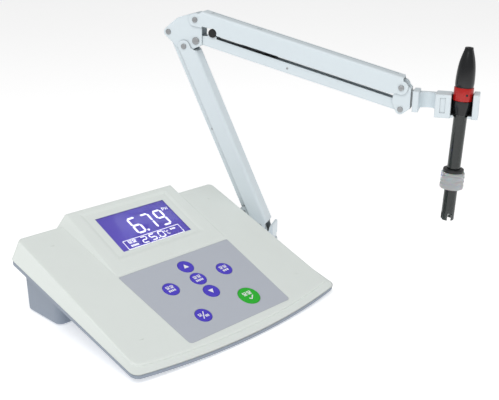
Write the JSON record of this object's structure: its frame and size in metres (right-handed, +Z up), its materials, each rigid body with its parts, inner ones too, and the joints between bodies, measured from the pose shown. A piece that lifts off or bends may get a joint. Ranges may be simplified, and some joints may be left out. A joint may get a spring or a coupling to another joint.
{
  "type": "ph meter",
  "caption": "Bench pH meter with a sloping case, backlit display, round keys and a two-stage parallelogram arm holding a combination electrode.",
  "frame": {"origin": "on the table plane under the middle of the case", "axes": "+X to the right of the person using it, +Y to the back of the case, +Z up"},
  "size_m": [0.3971, 0.3064, 0.2705],
  "materials": {
    "case_white": "fine matte moulding",
    "case_grey": "fine matte moulding",
    "keypad_film": "satin printed film",
    "key_blue": "satin",
    "key_green": "satin",
    "window_clear": "polished clear",
    "lcd": "polished",
    "light_guide": "frosted",
    "tray_plastic": "moulded",
    "board": "solder mask",
    "parts_black": "moulded",
    "steel": "zinc plated",
    "dome_metal": "polished",
    "cable": "satin",
    "foot_rubber": "matte",
    "nickel": "nickel plated",
    "cap_red": "moulded",
    "socket_black": "moulded",
    "arm_plastic": "fine matte moulding",
    "spring_steel": "drawn wire",
    "roller_rubber": "matte",
    "electrode_black": "satin",
    "collar_red": "satin",
    "tube_smoke": "polished, smoke tinted",
    "stem_glass": "polished",
    "silver": "drawn wire",
    "ring_clear": "frosted clear"
  },
  "bodies": {
    "housing": {"upper_housing": "case_white", "lower_housing": "case_grey", "display_window": "window_clear", "lcd_glass": "lcd", "lcd_light_guide": "light_guide", "lcd_tray": "tray_plastic", "keypad_overlay": "keypad_film", "key_board": "board", "snap_domes": "dome_metal", "main_board": "board", "board_parts": "parts_black", "board_screws": "steel", "flat_cable": "cable", "case_screws": "steel", "rear_feet": "foot_rubber", "front_feet": "foot_rubber", "bnc_socket": "nickel", "reference_post": "nickel", "temperature_socket": "socket_black", "power_jack": "socket_black", "switch_frame": "socket_black", "arm_mount": "arm_plastic", "arm_mount_screws": "steel", "swivel_pin": "steel"},
    "terminal_cap": {"reference_cap": "cap_red"},
    "rocker": {"power_rocker": "socket_black"},
    "turret": {"turret": "arm_plastic", "turret_pins": "steel"},
    "lower_arm": {"lower_arm_channel": "arm_plastic"},
    "lower_link": {"lower_arm_link": "arm_plastic", "lower_arm_spring": "spring_steel", "lower_spring_pin": "steel"},
    "elbow": {"elbow_bracket": "arm_plastic", "elbow_pins": "steel", "friction_screw": "steel"},
    "upper_arm": {"upper_arm_channel": "arm_plastic"},
    "upper_link": {"upper_arm_link": "arm_plastic", "upper_arm_spring": "spring_steel", "upper_spring_pin": "steel", "stop_rollers": "roller_rubber"},
    "head": {"head_bracket": "arm_plastic", "head_pins": "steel", "electrode_clip": "arm_plastic"},
    "electrode": {"electrode_boot": "electrode_black", "electrode_collar": "collar_red", "electrode_cap": "electrode_black", "electrode_shaft": "tube_smoke", "electrode_stem": "stem_glass", "reference_element": "silver"},
    "ring": {"storage_ring": "ring_clear", "storage_seal": "roller_rubber"},
    "up_key": {"up_key": "key_blue"},
    "middle_key": {"middle_key": "key_blue"},
    "down_key": {"down_key": "key_blue"},
    "left_key": {"left_key": "key_blue"},
    "right_key": {"right_key": "key_blue"},
    "power_key": {"power_key": "key_blue"},
    "confirm_key": {"confirm_key": "key_green"}
  },
  "joints": [
    {"name": "up_key_press", "type": "slide", "parent": "housing", "child": "up_key", "axis": [0, 0.3448, -0.9387], "range_m": [0, 0.0005], "stiffness_N_per_m": 3000, "springref_m": -0.0003},
    {"name": "middle_key_press", "type": "slide", "parent": "housing", "child": "middle_key", "axis": [0, 0.3448, -0.9387], "range_m": [0, 0.0005], "stiffness_N_per_m": 3000, "springref_m": -0.0003},
    {"name": "down_key_press", "type": "slide", "parent": "housing", "child": "down_key", "axis": [0, 0.3448, -0.9387], "range_m": [0, 0.0005], "stiffness_N_per_m": 3000, "springref_m": -0.0003},
    {"name": "left_key_press", "type": "slide", "parent": "housing", "child": "left_key", "axis": [0, 0.3448, -0.9387], "range_m": [0, 0.0005], "stiffness_N_per_m": 3000, "springref_m": -0.0003},
    {"name": "right_key_press", "type": "slide", "parent": "housing", "child": "right_key", "axis": [0, 0.3448, -0.9387], "range_m": [0, 0.0005], "stiffness_N_per_m": 3000, "springref_m": -0.0003},
    {"name": "power_key_press", "type": "slide", "parent": "housing", "child": "power_key", "axis": [0, 0.3448, -0.9387], "range_m": [0, 0.0005], "stiffness_N_per_m": 3000, "springref_m": -0.0003},
    {"name": "confirm_key_press", "type": "slide", "parent": "housing", "child": "confirm_key", "axis": [0, 0.3448, -0.9387], "range_m": [0, 0.0005], "stiffness_N_per_m": 3000, "springref_m": -0.0003},
    {"name": "rocker_tip", "type": "hinge", "parent": "housing", "child": "rocker", "pos_m": [-0.075, 0.0906, 0.027], "axis": [0, 0, 1], "range_deg": [-16, 0]},
    {"name": "terminal_cap_turn", "type": "hinge", "parent": "housing", "child": "terminal_cap", "pos_m": [0.042, 0.1, 0.027], "axis": [0, 1, 0], "range_deg": [-360, 360]},
    {"name": "arm_swivel", "type": "hinge", "parent": "housing", "child": "turret", "pos_m": [0.1571, 0.0286, 0.025], "axis": [0, 0, 1], "range_deg": [-75, 5]},
    {"name": "lower_arm_tilt", "type": "hinge", "parent": "turret", "child": "lower_arm", "pos_m": [0.15373, 0.03508, 0.0361], "axis": [0.887, 0.4617, 0], "range_deg": [-5, 45]},
    {"name": "lower_link_tilt", "type": "hinge", "parent": "turret", "child": "lower_link", "pos_m": [0.14533, 0.05122, 0.0507], "axis": [0.887, 0.4617, 0], "range_deg": [-5, 45]},
    {"name": "elbow_level", "type": "hinge", "parent": "lower_arm", "child": "elbow", "pos_m": [0.11357, 0.11222, 0.23272], "axis": [0.887, 0.4617, 0], "range_deg": [-45, 5]},
    {"name": "upper_arm_tilt", "type": "hinge", "parent": "elbow", "child": "upper_arm", "pos_m": [0.11967, 0.10051, 0.26153], "axis": [0.887, 0.4617, 0], "range_deg": [-30, 14]},
    {"name": "upper_link_tilt", "type": "hinge", "parent": "elbow", "child": "upper_link", "pos_m": [0.11967, 0.10051, 0.23902], "axis": [0.887, 0.4617, 0], "range_deg": [-30, 14]},
    {"name": "head_level", "type": "hinge", "parent": "upper_arm", "child": "head", "pos_m": [0.22213, -0.09632, 0.20294], "axis": [0.887, 0.4617, 0], "range_deg": [-14, 30]},
    {"name": "electrode_lift", "type": "slide", "parent": "head", "child": "electrode", "axis": [0.0179, -0.0344, 0.9992], "range_m": [0, 0.03]},
    {"name": "storage_ring_slide", "type": "slide", "parent": "electrode", "child": "ring", "axis": [0.0179, -0.0344, 0.9992], "range_m": [-0.03, 0.02]}
  ],
  "couplings": [
    {"joint": "lower_link_tilt", "follows": "lower_arm_tilt", "ratio": 1},
    {"joint": "elbow_level", "follows": "lower_arm_tilt", "ratio": -1},
    {"joint": "upper_link_tilt", "follows": "upper_arm_tilt", "ratio": 1},
    {"joint": "head_level", "follows": "upper_arm_tilt", "ratio": -1}
  ]
}
